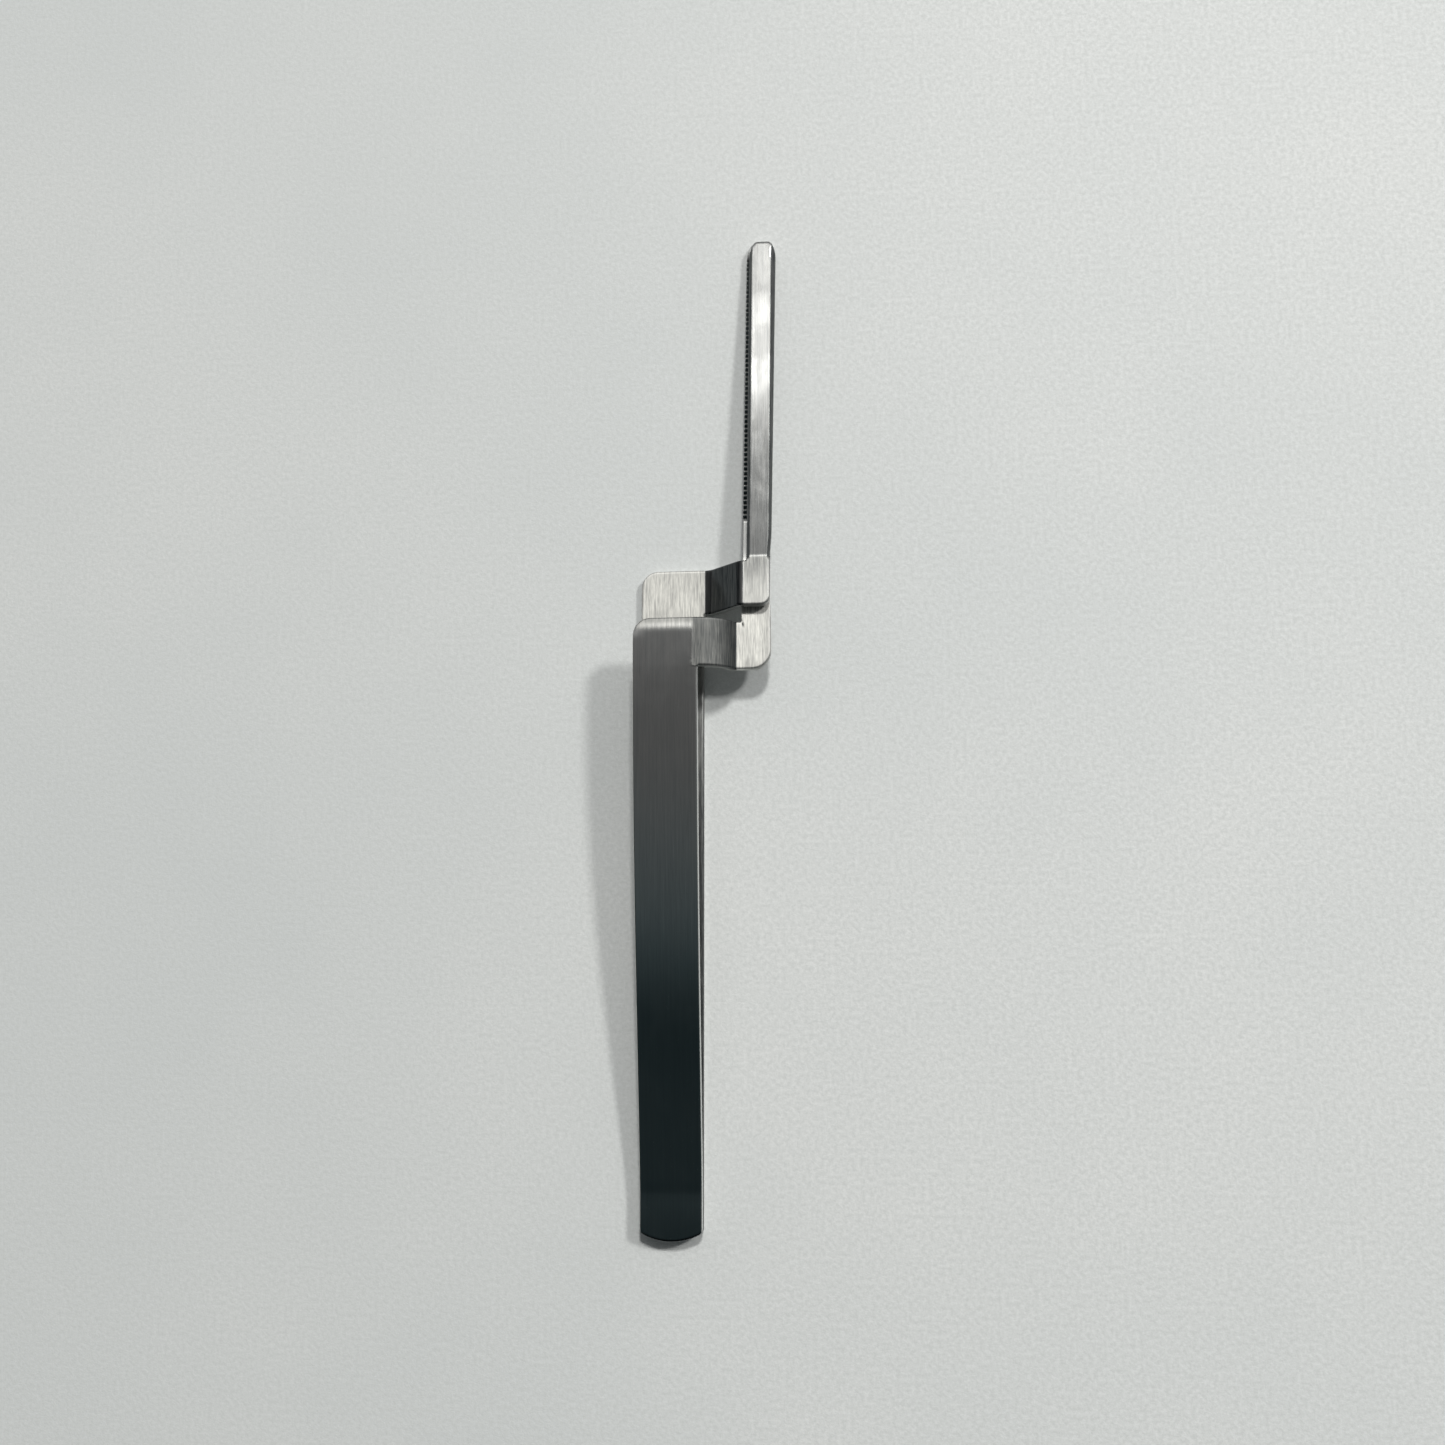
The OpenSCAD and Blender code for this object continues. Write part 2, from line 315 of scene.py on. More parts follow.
def corner_path(start, corner, end, radius):
    """Polyline from start round a square corner of that radius to end."""
    start, corner, end = (np.array(p, float) for p in (start, corner, end))
    back = (start - corner) / np.linalg.norm(start - corner)
    ahead = (end - corner) / np.linalg.norm(end - corner)
    a = np.linspace(0, math.pi / 2, 24)[:, None]
    centre = corner + radius * (back + ahead)
    bend_points = centre - radius * (np.cos(a) * ahead + np.sin(a) * back)
    return np.vstack([start, bend_points, end])


def fan(inner, outer, count):
    """Ribs that turn with a corner, from an inner polyline to an outer one."""
    t = np.linspace(0, 1, count)
    return along(inner, t * lengths(inner)[-1]), along(outer, t * lengths(outer)[-1])


END_DISTANCES = [*EDGE_INSETS, 1.3, 1.65, 2.1, 2.7, 3.4, 4.2]


def handle_half(y, jog_y):
    """Half the width of a handle, which narrows towards the tail."""
    return line(y, 0, TAIL_HALF, jog_y, HANDLE_HALF)


def tail_ribs(jog_y):
    """Ribs of a handle's rounded tail."""
    end = blunt_end(TAIL_HALF, TAIL_END_RADIUS, TAIL_CORNER)
    return [np.column_stack([rib[:, 0] * handle_half(rib[:, 1], jog_y), rib[:, 1]])
            for rib in end_ribs(END_DISTANCES, TAIL_HALF, end, 4.0)]


def blade_ribs(shape):
    """All ribs of a blade in plan, from tail to tip."""
    jog_y, jog_top, jaw_left = shape.jog_y, shape.neck_y, shape.jaw_left
    f = INNER_FILLET
    ribs = tail_ribs(jog_y)
    ys = np.linspace(ribs[-1][0, 1], jog_y - f, 66)[1:-1]
    half = handle_half(ys, jog_y)
    ribs += straight_ribs(np.column_stack([-half, ys]), np.column_stack([half, ys]))

    # Fan round the inner corner of handle and jog
    outer = corner_path((-HANDLE_HALF, jog_y - f), (-HANDLE_HALF, jog_top),
                        (HANDLE_HALF + f, jog_top), HANDLE_CORNER)
    inner = arc(HANDLE_HALF + f, jog_y - f, f, math.pi, math.pi / 2, 12)
    right, left = fan(inner, outer, 44)
    ribs += straight_ribs(left, right)

    # Jog, with ribs an even distance apart on the bent strip
    xs = np.linspace(HANDLE_HALF + f, jaw_left - f, 800)
    walked = lengths(np.column_stack([xs, shape.middle(xs, np.full(len(xs), shape.mid_jog_y))]))
    xs = np.interp(np.linspace(0, walked[-1], 64)[1:-1], walked, xs)
    ribs += straight_ribs(np.column_stack([xs, np.full(len(xs), jog_top)]),
                          np.column_stack([xs, np.full(len(xs), jog_y)]))

    # Fan round the inner corner of jog and jaw
    outer = corner_path((jaw_left - f, jog_y), (JOG_REACH, jog_y), (JOG_REACH, jog_top + f), shape.jaw_corner)
    inner = arc(jaw_left - f, jog_top + f, f, -math.pi / 2, 0, 12)
    left, right = fan(inner, outer, 44)
    ribs += straight_ribs(left, right)

    # Jaw, with four ribs to a tooth
    ys = list(np.linspace(jog_top + f, TEETH_START - TOOTH_PITCH / 2, 36)[1:])
    y = TEETH_START
    while y < LENGTH - TEETH_MARGIN - 1.2:
        ys += [y, y + 0.08, y + TOOTH_PITCH / 2, y + TOOTH_PITCH - 0.08]
        y += TOOTH_PITCH
    for y in ys:
        sides = np.array([shape.left_edge(y), y]), np.array([shape.right_edge(y), y])
        ribs.append(straight_rib(*sides, bevel_stretch(shape, y)))
    tips = [d for d in END_DISTANCES if d < LENGTH - ys[-1] - 0.9]
    half = shape.tip_width / 2
    for rib in reversed(end_ribs(tips, half, tapered_end(half), 1.4, bevel_stretch(shape, LENGTH))):
        y = LENGTH - rib[:, 1]
        left, right = shape.left_edge(y), shape.right_edge(y)
        ribs.append(np.column_stack([left + (rib[:, 0] + 1) / 2 * (right - left), y]))
    return np.array(ribs)


def edge_distance(points, outline):
    """Distance of each plan point to a closed outline."""
    a = outline
    ab = np.roll(outline, -1, axis=0) - a
    square = np.maximum((ab**2).sum(1), 1e-12)
    found = np.empty(len(points))
    for i in range(0, len(points), 2000):
        p = points[i:i + 2000, None, :]
        t = np.clip(((p - a) * ab).sum(2) / square, 0, 1)
        found[i:i + 2000] = np.sqrt((((p - a) - t[..., None] * ab) ** 2).sum(2).min(1))
    return found


def round_drop(d, radius):
    """How far a rounded edge is below its face at a distance from the outline."""
    t = np.clip(radius - d, 0, radius)
    return radius - np.sqrt(radius**2 - t**2)


def bevel_drop(d, width):
    """How far a jaw's side bevel, with a softened break, is below its face."""
    soft = 0.04
    t = BEVEL_DEPTH * (1 - np.maximum(d, 0) / width)
    return 0.5 * (t + np.sqrt(t * t + soft * soft)) - 0.5 * soft * np.exp(-8 * np.abs(d - width))


def teeth_drop(y):
    """Depth of the V teeth of a jaw's inner face."""
    t = (y - TEETH_START) / TOOTH_PITCH
    v = 1 - np.abs(2 * (t - np.floor(t)) - 1)
    inside = (y > TEETH_START) & (y < LENGTH - TEETH_MARGIN)
    return np.where(inside, TOOTH_DEPTH * np.minimum(v * 1.15, 1), 0)


def dent_drop(x, y, dents):
    """Depth of small dents, each given as its middle, its half sizes and its depth."""
    drop = np.zeros_like(x)
    for cx, cy, rx, ry, depth in dents:
        drop += depth * np.exp(-(((x - cx) / rx) ** 2) - ((y - cy) / ry) ** 2)
    return drop


def rim(grid):
    """The entries round the outside of a grid, in order."""
    return np.concatenate([grid[0], grid[1:, -1], grid[-1][::-1][1:], grid[1:-1, 0][::-1]])


def strip_normals(middle, x, y):
    """Unit normals of the middle surface of a strip."""
    step = 0.01
    gx = (middle(x + step, y) - middle(x - step, y)) / (2 * step)
    gy = (middle(x, y + step) - middle(x, y - step)) / (2 * step)
    normals = np.column_stack([-gx, -gy, np.ones_like(x)])
    return normals / np.linalg.norm(normals, axis=1)[:, None]


def jaw_share(shape, x, y):
    """1 on the jaw and 0 elsewhere, with a short slanting step where the jaw leaves its root."""
    in_from_left = x - shape.left_edge(y)
    slant = np.where(in_from_left < shape.jaw_width / 2, 0.4 * in_from_left, 0.1)
    return rising(y, shape.neck_y + slant, 0.35) * (x > shape.jaw_left - 0.5)


def face_drops(shape, x, y, d):
    """How far the blade's outer and inner faces lie below a sharp-edged strip's faces."""
    jaw = jaw_share(shape, x, y)
    left = bevel_drop(x - shape.left_edge(y), LEFT_BEVEL)
    right = bevel_drop(shape.right_edge(y) - x, right_bevel(shape, y))
    jaw_round = JAW_EDGE_ROUND + (TIP_EDGE_ROUND - JAW_EDGE_ROUND) * rising(y, LENGTH - 2, 1.5)
    handle_edge = (1 - jaw) * round_drop(d, EDGE_ROUND)
    outer = handle_edge + jaw * (left + right + round_drop(d, jaw_round))
    inner = handle_edge + jaw * round_drop(d, JAW_EDGE_ROUND) + teeth_drop(y)
    return outer, inner


def painted_bevel_shade(shape, x, y):
    """How much shade is painted on the two bevels of a jaw, standing in for the dark they mirror."""
    left = rising(LEFT_BEVEL + 0.1 - x + shape.left_edge(y), 0, 0.1)
    right = 0.9 * rising(right_bevel(shape, y) + 0.1 - shape.right_edge(y) + x, 0, 0.1)
    return jaw_share(shape, x, y) * np.maximum(left, right)


def blade_faces(stations, lines):
    """Faces between a top grid of points and the bottom grid that follows it, with walls round the rim."""
    index = np.arange(stations * lines).reshape(stations, lines)
    a, b, c, e = index[:-1, :-1], index[:-1, 1:], index[1:, 1:], index[1:, :-1]
    top = np.stack([a, b, c, e], -1).reshape(-1, 4)
    bottom = np.stack([e, c, b, a], -1).reshape(-1, 4) + index.size
    loop = rim(index)
    after = np.roll(loop, -1)
    walls = np.stack([after, loop, loop + index.size, after + index.size], -1)
    return np.vstack([top, bottom, walls])


def lay_grain(mesh, shape, points, faces):
    """A UV map for the brushed grain: across and along the strip, unrolled over the bends."""
    spread = np.linspace(-10, 20, 3001)
    rolled = lengths(np.column_stack([spread, shape.middle(spread, np.full(len(spread), shape.mid_jog_y))]))
    across = np.interp(points[:, 0], spread, rolled)
    normals = np.zeros(len(mesh.polygons) * 3)
    mesh.polygons.foreach_get("normal", normals)
    normals = np.repeat(np.abs(normals.reshape(-1, 3)), 4, axis=0)
    side_x = (normals[:, 2] < 0.35) & (normals[:, 0] > normals[:, 1])
    side_y = (normals[:, 2] < 0.35) & ~side_x
    ends = faces.reshape(-1)
    u = np.where(side_x | side_y, points[ends, 2], across[ends])
    v = np.where(side_y, points[ends, 0], points[ends, 1])
    uv = mesh.uv_layers.new(name="grain")
    uv.data.foreach_set("uv", (np.column_stack([u, v]) * 0.01).astype(np.float32).reshape(-1))


def write_attribute(mesh, name, top, bottom):
    """A value for every point of a blade, for its material."""
    layer = mesh.attributes.new(name, "FLOAT", "POINT")
    layer.data.foreach_set("value", np.concatenate([top, bottom]).astype(np.float32))


def blade(name, shape, face_is_up, top_roll, ground_zone, painted_shade_zone, dents):
    """One blade as a closed mesh. face_is_up says whether its jaw's outer, bevelled face is its top.

    top_roll lowers the top face. ground_zone says where the steel is coarse, and painted_shade_zone where
    shade and dark reflections are painted into the steel's colour.
    """
    ribs = blade_ribs(shape)
    stations, lines, _ = ribs.shape
    flat = ribs.reshape(-1, 2)
    d = edge_distance(flat, rim(ribs))
    x, y = flat[:, 0], flat[:, 1]

    outer, inner = face_drops(shape, x, y, d)
    top_drop, bottom_drop = (outer, inner) if face_is_up else (inner, outer)
    top_drop = top_drop + top_roll(x, y, d) + dent_drop(x, y, dents)
    middle = np.column_stack([x, y, shape.middle(x, y)])
    normals = strip_normals(shape.middle, x, y)
    half = thickness(y, shape.jog_y) / 2
    points = np.vstack([middle + normals * (half - top_drop)[:, None],
                        middle - normals * (half - bottom_drop)[:, None]])
    faces = blade_faces(stations, lines)

    mesh = bpy.data.meshes.new(name)
    mesh.from_pydata(((points + [AXIS_X, TAIL_Y, TABLE_Z]) * MM).tolist(), [], faces.tolist())
    mesh.update()
    mesh.polygons.foreach_set("use_smooth", [True] * len(mesh.polygons))
    mesh.set_sharp_from_angle(angle=math.radians(38))
    lay_grain(mesh, shape, points, faces)

    worn = np.exp(-((d / WORN_EDGE) ** 2))
    ground = ground_zone(x, y)
    bevels = painted_bevel_shade(shape, x, y)
    # Painted shade in the valleys of the teeth.
    teeth = np.clip(teeth_drop(y) / TOOTH_DEPTH, 0, 1)
    top_shade, bottom_shade = (bevels, teeth) if face_is_up else (teeth, bevels)
    # The dents are darkened with painted shade.
    dented = np.clip(dent_drop(x, y, dents) / 0.15, 0, 1)
    write_attribute(mesh, "wear", worn, worn)
    write_attribute(mesh, "ground", ground, ground)
    # The dull attribute is painted shade: how far the steel is darkened where shade and dark reflections
    # fall.
    write_attribute(mesh, "painted_shade", np.maximum.reduce([top_shade, painted_shade_zone(x, y), dented]), bottom_shade)

    made = bpy.data.objects.new(name, mesh)
    bpy.context.scene.collection.objects.link(made)
    return made


# ---------------------------------------------------------------- node helpers


class Nodes:
    """Short names for the few node set-ups that the materials share."""

    def __init__(self, tree):
        self.tree = tree
        tree.nodes.clear()

    def add(self, kind, **values):
        node = self.tree.nodes.new(kind)
        for key, value in values.items():
            setattr(node, key, value)
        return node

    def link(self, source, target):
        self.tree.links.new(source, target)

    def scaled(self, source, scale, turn=0.0):
        node = self.add("ShaderNodeMapping")
        node.inputs["Scale"].default_value = scale
        node.inputs["Rotation"].default_value = (0, 0, turn)
        self.link(source, node.inputs["Vector"])
        return node.outputs["Vector"]

    def noise(self, source, detail=3.0, rough=0.55, distortion=0.0):
        node = self.add("ShaderNodeTexNoise")
        node.inputs["Scale"].default_value = 1.0
        node.inputs["Detail"].default_value = detail
        node.inputs["Roughness"].default_value = rough
        node.inputs["Distortion"].default_value = distortion
        self.link(source, node.inputs["Vector"])
        return node.outputs["Fac"]

    def spread(self, source, low, high, to_low, to_high):
        node = self.add("ShaderNodeMapRange")
        node.inputs["From Min"].default_value = low
        node.inputs["From Max"].default_value = high
        node.inputs["To Min"].default_value = to_low
        node.inputs["To Max"].default_value = to_high
        self.link(source, node.inputs["Value"])
        return node.outputs["Result"]

    def math(self, operation, a, b):
        node = self.add("ShaderNodeMath", operation=operation)
        for socket, value in zip(node.inputs, (a, b)):
            if isinstance(value, (int, float)):
                socket.default_value = value
            else:
                self.link(value, socket)
        return node.outputs[0]

    def mix(self, factor, a, b, blend_type="MIX"):
        node = self.add("ShaderNodeMix", data_type="RGBA", blend_type=blend_type)
        for socket, value in zip((node.inputs[0], node.inputs[6], node.inputs[7]), (factor, a, b)):
            if isinstance(value, (int, float)):
                socket.default_value = value
            elif isinstance(value, tuple):
                socket.default_value = (*value, 1)
            else:
                self.link(value, socket)
        return node.outputs[2]

    def attribute(self, name):
        return self.add("ShaderNodeAttribute", attribute_name=name).outputs["Fac"]

    def bump(self, height, strength, distance, under=None):
        node = self.add("ShaderNodeBump")
        if isinstance(strength, float):
            node.inputs["Strength"].default_value = strength
        else:
            self.link(strength, node.inputs["Strength"])
        node.inputs["Distance"].default_value = distance
        self.link(height, node.inputs["Height"])
        if under is not None:
            self.link(under, node.inputs["Normal"])
        return node.outputs["Normal"]


def brushed_steel():
    """Steel brushed along the blades: satin on handles and jaws, coarser where the jogs were ground, and
    darkened by painted shade where shade and dark reflections fall.
    """
    material = bpy.data.materials.new("brushed_steel")
    material.use_nodes = True
    n = Nodes(material.node_tree)
    uv = n.add("ShaderNodeUVMap", uv_map="grain").outputs["UV"]
    fine = n.noise(n.scaled(uv, (1000, 16, 1)), detail=4, rough=0.6)
    streaks = n.noise(n.scaled(uv, (300, 5, 1)), detail=3)
    strokes = n.noise(n.scaled(uv, (420, 26, 1), 0.03), detail=3, rough=0.7, distortion=0.25)
    smudges = n.noise(n.scaled(uv, (22, 14, 1)), detail=4, distortion=0.6)
    hairs = n.spread(n.noise(n.scaled(uv, (420, 9, 1), 0.05), detail=1), 0.72, 0.76, 0, 1)
    wear = n.attribute("wear")
    painted_shade = n.attribute("painted_shade")
    ground = n.attribute("ground")

    satin = n.mix(n.spread(streaks, 0.3, 0.7, 0, 1), (0.54, 0.55, 0.54), (0.65, 0.65, 0.63))
    satin = n.mix(n.spread(fine, 0.35, 0.65, 0, 0.4), satin, (0.44, 0.45, 0.45))
    coarse = n.mix(n.spread(strokes, 0.35, 0.62, 0, 1), (0.35, 0.35, 0.337), (0.62, 0.62, 0.588))
    tone = n.mix(ground, satin, coarse)
    tone = n.mix(n.math("MULTIPLY", n.spread(smudges, 0.5, 0.72, 0, 0.4), ground), tone, (0.3, 0.3, 0.29))
    tone = n.mix(n.math("MULTIPLY", hairs, 0.35), tone, (0.82, 0.82, 0.80))
    tone = n.mix(n.math("MULTIPLY", wear, 0.3), tone, (0.80, 0.80, 0.78))
    # Painted shade: this attribute darkens the steel towards near black where shade and dark reflections
    # fall, plus a little streak variation.
    shade_and_streaks = n.math("ADD", n.math("MULTIPLY", painted_shade, 0.95), n.spread(strokes, 0.3, 0.7, 0.08, -0.08))
    tone = n.mix(shade_and_streaks, tone, (0.022, 0.027, 0.03))

    gloss = n.spread(fine, 0.3, 0.7, 0.12, 0.16)
    gloss = n.math("ADD", gloss, n.spread(smudges, 0.45, 0.7, 0.0, 0.03))
    coarse_gloss = n.spread(strokes, 0.3, 0.7, 0.58, 0.68)
    gloss = n.math("ADD", gloss, n.math("MULTIPLY", ground, n.math("SUBTRACT", coarse_gloss, gloss)))

    normal = n.bump(fine, 0.15, 0.00001)
    normal = n.bump(strokes, n.math("MULTIPLY", ground, 0.35), 0.00004, normal)

    shader = n.add("ShaderNodeBsdfPrincipled")
    shader.inputs["Metallic"].default_value = 1.0
    shader.inputs["Anisotropic"].default_value = 0.35
    n.link(tone, shader.inputs["Base Color"])
    n.link(gloss, shader.inputs["Roughness"])
    n.link(normal, shader.inputs["Normal"])
    tangent = n.add("ShaderNodeTangent", direction_type="UV_MAP", uv_map="grain")
    n.link(tangent.outputs["Tangent"], shader.inputs["Tangent"])
    out = n.add("ShaderNodeOutputMaterial")
    n.link(shader.outputs["BSDF"], out.inputs["Surface"])
    return material


def seam_steel():
    """Weld metal: duller and darker steel with a rippled, oxidised surface."""
    material = bpy.data.materials.new("seam_steel")
    material.use_nodes = True
    n = Nodes(material.node_tree)
    place = n.add("ShaderNodeTexCoord").outputs["Object"]
    ripple = n.noise(n.scaled(place, (1800, 1800, 1800)), detail=4)
    heat = n.noise(n.scaled(place, (500, 500, 500)), detail=2)
    tone = n.mix(n.spread(ripple, 0.3, 0.7, 0, 1), (0.16, 0.16, 0.16), (0.42, 0.41, 0.40))
    tone = n.mix(n.spread(heat, 0.5, 0.7, 0, 0.5), tone, (0.22, 0.19, 0.16))
    shader = n.add("ShaderNodeBsdfPrincipled")
    shader.inputs["Metallic"].default_value = 1.0
    n.link(tone, shader.inputs["Base Color"])
    n.link(n.spread(ripple, 0.3, 0.7, 0.42, 0.62), shader.inputs["Roughness"])
    n.link(n.bump(ripple, 0.4, 0.00005), shader.inputs["Normal"])
    out = n.add("ShaderNodeOutputMaterial")
    n.link(shader.outputs["BSDF"], out.inputs["Surface"])
    return material


def table_top():
    """Pale matt table with a fine grain, faint cloudy patches, and painted shade that makes its left side
    slightly darker as the light falls off.
    """
    material = bpy.data.materials.new("table_top")
    material.use_nodes = True
    n = Nodes(material.node_tree)
    place = n.add("ShaderNodeTexCoord").outputs["Object"]
    grain = n.noise(n.scaled(place, (1500, 1500, 1500)), detail=3, rough=0.7)
    clouds = n.noise(n.scaled(place, (9, 9, 9)), detail=4, rough=0.6)
    split = n.add("ShaderNodeSeparateXYZ")
    n.link(place, split.inputs[0])
    # Painted shade: darker towards the left, standing in for the light's falloff across the table.
    side = n.mix(n.spread(split.outputs["X"], -0.06, 0.06, 0, 1), (0.94, 0.945, 0.95), (1.04, 1.04, 1.045))
    tone = n.mix(n.spread(clouds, 0.3, 0.7, 0, 1), (0.565, 0.59, 0.59), (0.645, 0.657, 0.65))
    tone = n.mix(1.0, tone, side, "MULTIPLY")
    tone = n.mix(n.spread(grain, 0.35, 0.65, 0, 0.7), tone, (0.50, 0.52, 0.515))
    shader = n.add("ShaderNodeBsdfPrincipled")
    n.link(tone, shader.inputs["Base Color"])
    n.link(n.spread(grain, 0.3, 0.7, 0.5, 0.65), shader.inputs["Roughness"])
    n.link(n.bump(grain, 0.5, 0.0001), shader.inputs["Normal"])
    shader.inputs["Specular IOR Level"].default_value = 0.25
    out = n.add("ShaderNodeOutputMaterial")
    n.link(shader.outputs["BSDF"], out.inputs["Surface"])
    return material


# ---------------------------------------------------------------- object

steel = brushed_steel()


def upper_roll(x, y, d):
    """The far side of the upper blade's jog rolls off softly towards its edge."""
    near_edge = np.clip(1 - d / 2.2, 0, 1) ** 2
    return 0.12 * near_edge * rising(y, UPPER_NECK_Y - 3.0, 1.6) * (1 - rising(x, 4.0, 3.0))


def no_roll(x, y, d):
    """The lower blade's top face has no rolled-off edge."""
    return np.zeros_like(x)


def upper_ground(x, y):
    """How coarsely the upper blade is ground: fully right of its handle, and along its rolled-off edge."""
    right = rising(x, 3.9, 0.7) * rising(y, UPPER_JOG_Y - 0.2, 0.4)
    rolled = rising(y, UPPER_NECK_Y - 2.4, 2.2)
    return np.maximum(right, rolled) * (1 - rising(y, UPPER_NECK_Y + 4.0, 8.0))


def lower_ground(x, y):
    """How coarsely the lower blade is ground: fully on its jog's flat part and on its jaw's root."""
    flat = (0.6 + 0.4 * rising(y, LOWER_JOG_Y - 3.0, 2.0)) * (1 - rising(x, 4.9, 0.4))
    root = rising(x, LOWER.jaw_left - 0.6, 0.4) * (1 - rising(y, LOWER_NECK_Y + 0.3, 0.6))
    return np.maximum(flat, 0.85 * root)


def upper_painted_shade(x, y):
    """How much shade is painted on the upper blade, standing in for shade and dark reflections: on the bent
    side of its jog and along its jog's and its tail's edges.
    """
    bent = 0.80 * rising(x, 3.7, 0.8) + 0.19 * rising(x, 7.0, 3.0)
    bent = bent * (1 - rising(x, 10.35, 0.2)) * (y > UPPER_JOG_Y - 0.2)
    rolled = 0.52 * rising(y, UPPER_NECK_Y - 2.4, 2.2) * (x < 5)
    # Painted shade on the tail's end walls, where shadow falls.
    tail_edge = 1 - rising(y - x * x / (2 * TAIL_END_RADIUS), 0.3, 0.15)
    in_from_corner = np.minimum((y - UPPER_JOG_Y) / 2.6, (JOG_REACH - x) / 1.9)
    end_edge = 0.3 * (1 - smooth(in_from_corner)) * (x > 11.5)
    return np.maximum.reduce([bent, rolled, tail_edge, end_edge])


def lower_painted_shade(x, y):
    """How much shade is painted on the lower blade, standing in for shade and dark reflections: on its
    handle, on its jog's steep side and on its jaw near the root.
    """
    on_jaw = rising(x, LOWER.jaw_left - 0.8, 0.4)
    flat = 0.2 * rising(x, 3.2, 1.6)
    steep = (0.88 + 0.12 * rising(x, 5.6, 2.0)) * rising(x, 5.1, 0.3) * (y > LOWER_JOG_Y)
    jaw = (0.42 + 0.22 * rising(y, LOWER_JOG_Y + 1.0, 6.5)) * (1 - rising(y, 117.0, 20.0))
    on_jog = np.maximum(steep, flat) * (1 - on_jaw) + jaw * on_jaw
    handle = (0.72 + 0.2 * (1 - rising(y, 60.0, 20.0))) * (1 - rising(y, LOWER_JOG_Y - 4.0, 2.0))
    return np.where(y < LOWER_JOG_Y - 1, handle, on_jog)


# A small nick in the upper blade's jog, darkened with painted shade: its middle in plan, its half width and
# half length, and its depth
NICK = (11.4, 91.7, 0.12, 0.3, 0.16)
upper = blade("upper_blade_steel", UPPER, False, upper_roll, upper_ground, upper_painted_shade, [NICK])
lower = blade("lower_blade_steel", LOWER, True, no_roll, lower_ground, lower_painted_shade, [])
for piece in (upper, lower):
    piece.data.materials.append(steel)

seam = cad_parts["tail_weld"]
seam.data.materials.clear()
seam.data.materials.append(seam_steel())

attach(upper, "upper")
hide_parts("upper_blade")
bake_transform(lower)
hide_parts("lower_blade")

# ---------------------------------------------------------------- table, light and camera


TABLE_HALF = 3.0


def sheet(name, low, high, height, material):
    """A flat stage object between two corners in plan, in metres."""
    corners = [(low[0], low[1], height), (high[0], low[1], height),
               (high[0], high[1], height), (low[0], high[1], height)]
    mesh = bpy.data.meshes.new(name)
    mesh.from_pydata(corners, [], [(0, 1, 2, 3)])
    mesh.materials.append(material)
    made = bpy.data.objects.new(name, mesh)
    bpy.context.scene.collection.objects.link(made)
    return made


sheet("table", (-TABLE_HALF, -TABLE_HALF), (TABLE_HALF, TABLE_HALF), TABLE_Z * MM, table_top())

LAMP_DISTANCE = 2.5
LAMP_ANGLE = 7.0
CEILING_ANGLE = 70.0
MAIN_TOWARD = (0.133, 0.53, 0.84)
SECOND_TOWARD = (0.61, 0.39, 0.69)
CEILING_TOWARD = (0.0, -0.1, 1.0)
WARM_WHITE = (1.0, 0.985, 0.955)


def lamp(name, direction, angle, watts, seen_in_steel=True):
    """A round lamp in that direction from the middle of the part, that wide in degrees."""
    data = bpy.data.lights.new(name, "AREA")
    data.shape = "DISK"
    data.size = 2 * LAMP_DISTANCE * math.tan(math.radians(angle / 2))
    data.energy = watts
    data.color = WARM_WHITE
    made = bpy.data.objects.new(name, data)
    toward = Vector(direction).normalized()
    made.location = toward * LAMP_DISTANCE
    made.rotation_mode = "QUATERNION"
    made.rotation_quaternion = toward.to_track_quat("Z", "Y")
    made.visible_camera = False
    made.visible_glossy = seen_in_steel
    bpy.context.scene.collection.objects.link(made)


lamp("main_lamp", MAIN_TOWARD, LAMP_ANGLE, 38.6)
lamp("second_lamp", SECOND_TOWARD, LAMP_ANGLE, 29.4)
lamp("soft_ceiling", CEILING_TOWARD, CEILING_ANGLE, 3.0, seen_in_steel=False)


def add_ramp(n, source, low, high, stops):
    """A colour that follows stops of (value, colour), in rising order, as a source goes from low to high."""
    node = n.add("ShaderNodeValToRGB")
    n.link(n.spread(source, low, high, 0, 1), node.inputs[0])
    while len(node.color_ramp.elements) > 1:
        node.color_ramp.elements.remove(node.color_ramp.elements[-1])
    for i, (where, colour) in enumerate(stops):
        share = (where - low) / (high - low)
        stop = node.color_ramp.elements[0] if i == 0 else node.color_ramp.elements.new(share)
        stop.position = share
        stop.color = (*colour, 1)
    return node.outputs["Color"]


def grey(value, cool=0.0):
    """A neutral grey, or a cooler one."""
    return (value * (1 - cool), value, value * (1 + 0.3 * cool))


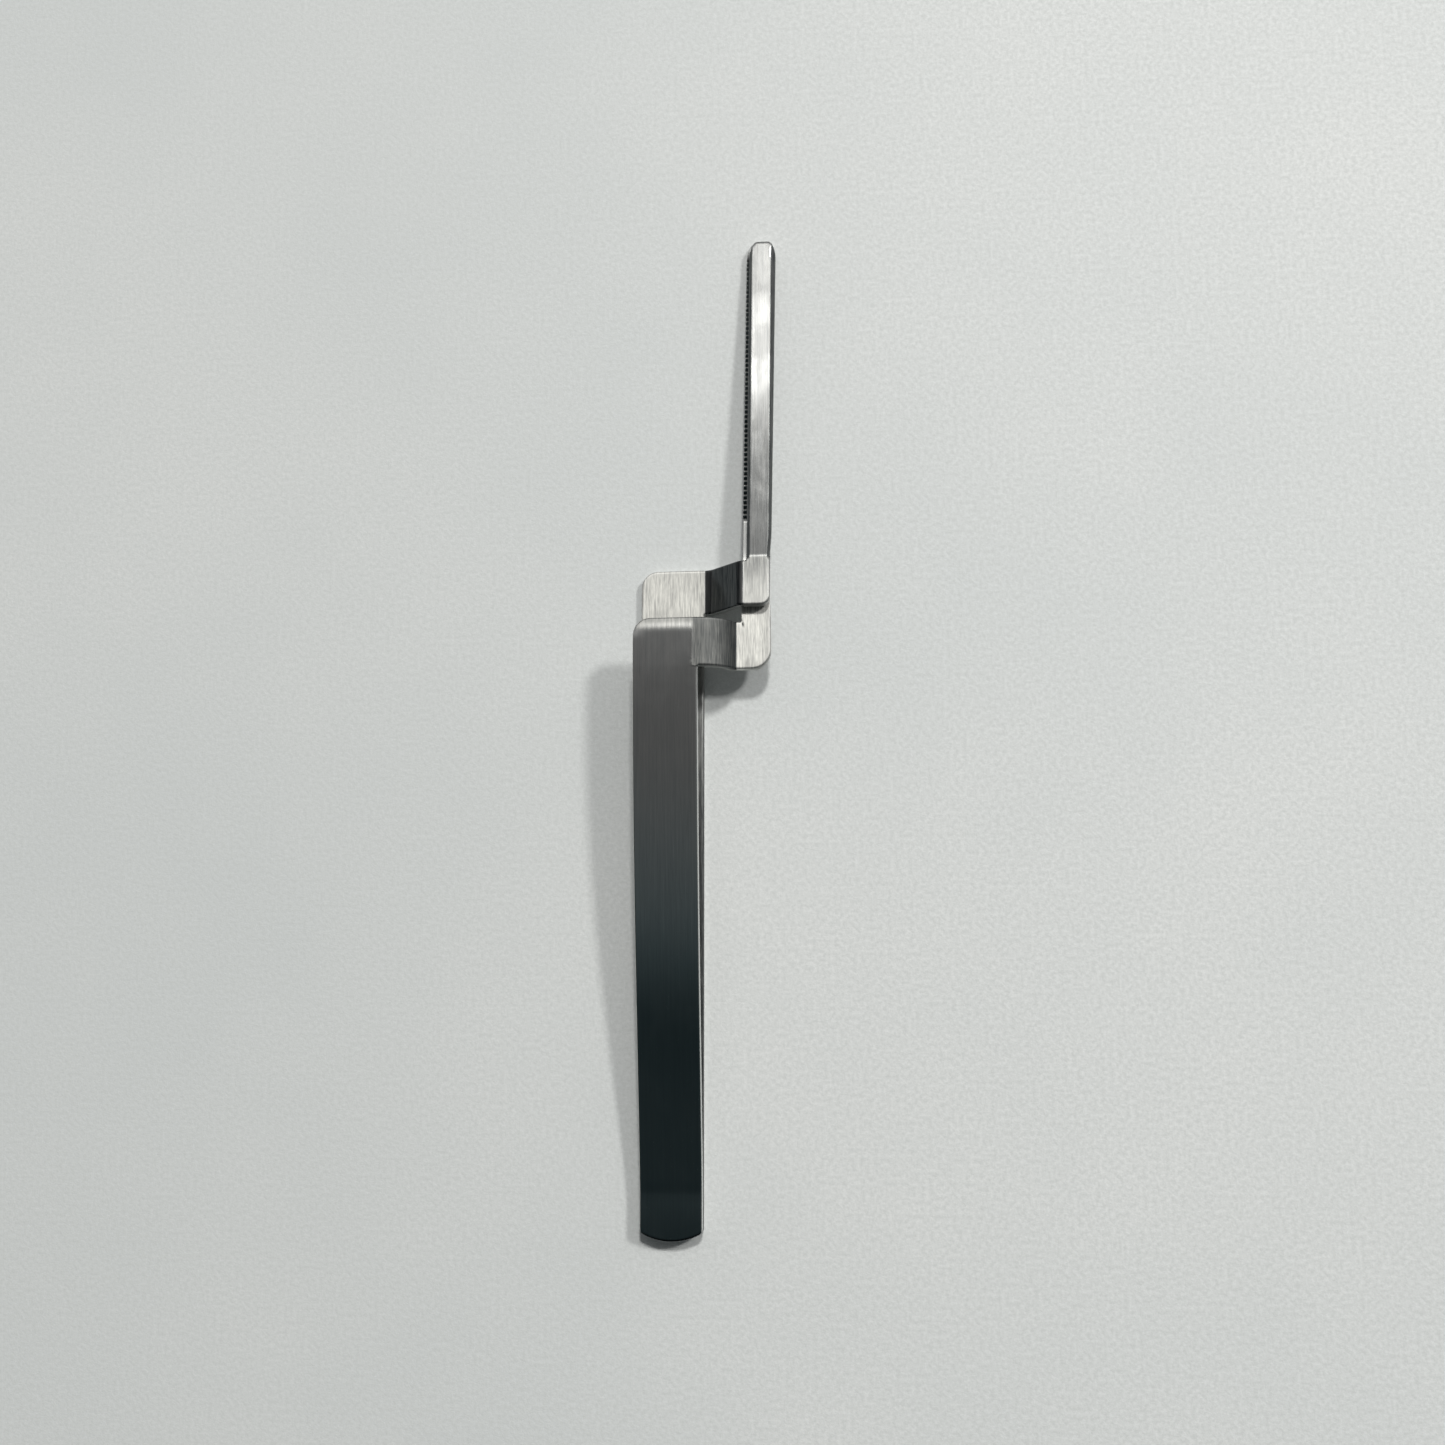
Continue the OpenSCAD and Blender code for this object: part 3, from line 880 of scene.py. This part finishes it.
def room():
    """A dim room: lighter beyond the jaws than behind the tail, and lighter on the right than on the left."""
    world = bpy.data.worlds.new("room")
    world.use_nodes = True
    bpy.context.scene.world = world
    n = Nodes(world.node_tree)
    split = n.add("ShaderNodeSeparateXYZ")
    n.link(n.add("ShaderNodeTexCoord").outputs["Generated"], split.inputs[0])
    ahead = add_ramp(n, split.outputs["Y"], -1, 1, [
        (-1.0, grey(0.02, 0.4)), (-0.3, grey(0.02, 0.4)), (0.0, grey(0.08, 0.1)), (0.2, grey(0.15)),
        (0.3, grey(0.3)), (0.6, grey(0.5)), (0.8, grey(0.3)), (1.0, grey(0.1))])
    across = add_ramp(n, split.outputs["X"], -1, 1, [
        (-1.0, grey(0.7)), (-0.5, grey(1.0)), (-0.2, grey(1.0)), (0.2, grey(1.0)), (0.5, grey(2.0)),
        (0.9, grey(1.6)), (1.0, grey(1.0))])
    light = n.add("ShaderNodeBackground")
    n.link(n.mix(1.0, ahead, across, "MULTIPLY"), light.inputs["Color"])
    out = n.add("ShaderNodeOutputWorld")
    n.link(light.outputs[0], out.inputs["Surface"])


room()

BOARD_HEIGHT = 245.0
BOARD_BACK = -400.0
BOARD_FRONT = 140.0
BOARD_HALF_WIDTH = 170.0


def board_glow():
    """Light that is dark behind the tail and grey above the handles and the jaws."""
    material = bpy.data.materials.new("board_glow")
    material.use_nodes = True
    n = Nodes(material.node_tree)
    split = n.add("ShaderNodeSeparateXYZ")
    n.link(n.add("ShaderNodeTexCoord").outputs["Object"], split.inputs[0])
    place = n.math("SUBTRACT", n.math("MULTIPLY", split.outputs["Y"], 1 / MM), TAIL_Y)
    glow = add_ramp(n, place, BOARD_BACK, BOARD_FRONT, [
        (BOARD_BACK, grey(0.02, 0.4)), (-75, grey(0.024, 0.35)), (-60, grey(0.02, 0.4)),
        (-42, grey(0.019, 0.4)), (-20, grey(0.05, 0.3)), (0, grey(0.08, 0.2)), (40, grey(0.10, 0.1)),
        (75, grey(0.105, 0.02)), (110, grey(0.11)), (BOARD_FRONT, grey(0.13))])
    shader = n.add("ShaderNodeEmission")
    n.link(glow, shader.inputs["Color"])
    out = n.add("ShaderNodeOutputMaterial")
    n.link(shader.outputs[0], out.inputs["Surface"])
    return material


def board():
    """What the flat steel mirrors: a board just above the camera, seen only in reflections."""
    low = row((-BOARD_HALF_WIDTH, BOARD_BACK, BOARD_HEIGHT))
    high = row((BOARD_HALF_WIDTH, BOARD_FRONT, BOARD_HEIGHT))
    made = sheet("board", low, high, low[2], board_glow())
    made.visible_camera = False
    made.visible_diffuse = False
    made.visible_shadow = False


board()

CAMERA_AT = (31.4, 42.3, 230.0)
CAMERA_TOWARD = Vector((-0.1015, 0.1504, -0.9834))
CAMERA_UP = Vector((0.0194, 0.9886, 0.1491))
CAMERA_SENSOR = 36.0
CAMERA_LENS = 37.37


def camera():
    data = bpy.data.cameras.new("camera")
    data.sensor_width = CAMERA_SENSOR
    data.lens = CAMERA_LENS
    data.clip_start = 0.01
    made = bpy.data.objects.new("camera", data)
    back = -CAMERA_TOWARD.normalized()
    right = CAMERA_UP.cross(back).normalized()
    up = back.cross(right)
    made.matrix_world = Matrix((right, up, back)).transposed().to_4x4()
    made.location = row(CAMERA_AT)
    bpy.context.scene.collection.objects.link(made)
    bpy.context.scene.camera = made


camera()
bpy.context.scene.view_settings.view_transform = "Standard"
